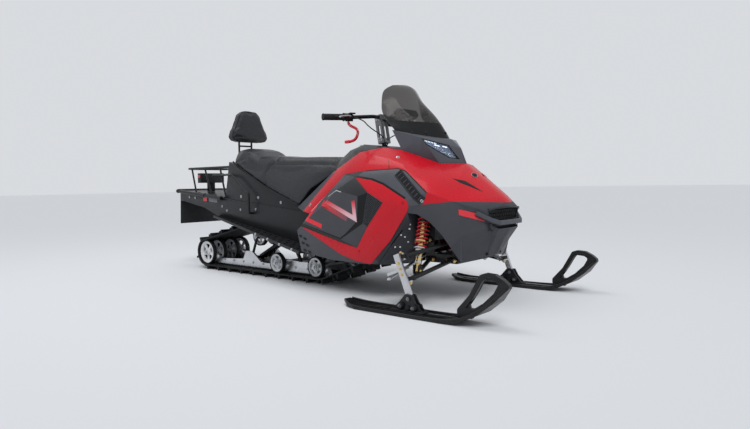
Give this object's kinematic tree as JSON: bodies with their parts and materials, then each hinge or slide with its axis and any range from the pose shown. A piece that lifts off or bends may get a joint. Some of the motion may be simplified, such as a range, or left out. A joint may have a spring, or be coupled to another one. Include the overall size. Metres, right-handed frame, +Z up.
{
  "type": "snowmobile",
  "caption": "Touring snowmobile with faceted bodywork, smoked windshield, long seat, passenger backrest, rear rack, rubber track and steered skis.",
  "frame": {"origin": "middle of the footprint, on the ground", "axes": "+X forward, +Y to the left, +Z up"},
  "size_m": [2.979, 1.14, 1.164],
  "materials": {
    "black_metal": "satin",
    "grey_plastic": "moulded",
    "engine": "cast",
    "charcoal": "moulded",
    "red_gloss": "gloss",
    "black_plastic": "moulded",
    "lamp": "clear",
    "smoked": "smoked",
    "vinyl": "grained",
    "tail_red": "gloss",
    "rubber": "moulded",
    "silver": "satin",
    "wheel_white": "moulded",
    "steel": "brushed",
    "gold": "anodised",
    "spring_red": "coated",
    "cord_red": "gloss"
  },
  "bodies": {
    "chassis": {"tunnel": "black_metal", "running_boards": "black_metal", "foot_guards": "grey_plastic", "front_frame": "black_metal", "engine_block": "engine", "belly_pan": "charcoal", "belly_cowl": "charcoal", "hood": "red_gloss", "headlamp_pod": "black_plastic", "headlamps": "lamp", "windshield": "smoked", "vent_bands": "black_plastic", "side_stripes": "red_gloss", "side_panels": "charcoal", "side_meshes": "black_plastic", "lower_walls": "charcoal", "console": "black_plastic", "knee_panels": "charcoal", "seat": "vinyl", "seat_base": "black_plastic", "backrest_pad": "vinyl", "backrest_frame": "black_metal", "rack": "black_metal", "rear_bumper": "black_metal", "grab_tubes": "black_metal", "tail_lamp": "tail_red", "reflectors": "tail_red", "snow_flap": "rubber", "tow_hitch": "black_metal", "track": "rubber", "slide_rails": "silver", "idler_wheels": "wheel_white", "drive_axle": "steel", "rear_arms": "black_metal", "front_bumper": "black_metal", "front_grille": "black_plastic", "suspension_arms": "black_metal", "shock_bodies": "gold", "springs": "spring_red"},
    "right_steer": {"spindle_right": "silver", "ski_right": "black_plastic"},
    "left_steer": {"spindle_left": "silver", "ski_left": "black_plastic"},
    "link": {"steering_link": "steel"},
    "steering": {"riser": "black_metal", "handlebar": "black_metal", "grips": "rubber", "controls": "black_plastic", "tether_cord": "cord_red", "tether_clip": "cord_red"}
  },
  "joints": [
    {"name": "handlebar_turn", "type": "hinge", "parent": "chassis", "child": "steering", "pos_m": [0.43, 0, 0.812], "axis": [-0.1691, 0, 0.9856], "range_deg": [-35, 35]},
    {"name": "right_ski_turn", "type": "hinge", "parent": "chassis", "child": "right_steer", "pos_m": [0.945, -0.465, 0.16], "axis": [-0.3651, 0, 0.931], "range_deg": [-28.1, 28.1]},
    {"name": "left_ski_turn", "type": "hinge", "parent": "chassis", "child": "left_steer", "pos_m": [0.945, 0.465, 0.16], "axis": [-0.3651, 0, 0.931], "range_deg": [-28.1, 28.1]},
    {"name": "steering_link_slide", "type": "slide", "parent": "chassis", "child": "link", "axis": [0, 1, 0], "range_m": [-0.052, 0.052]}
  ],
  "couplings": [
    {"joint": "right_ski_turn", "follows": "handlebar_turn", "ratio": 0.8},
    {"joint": "left_ski_turn", "follows": "handlebar_turn", "ratio": 0.8},
    {"joint": "steering_link_slide", "follows": "handlebar_turn", "m_per_rad": -0.084}
  ]
}
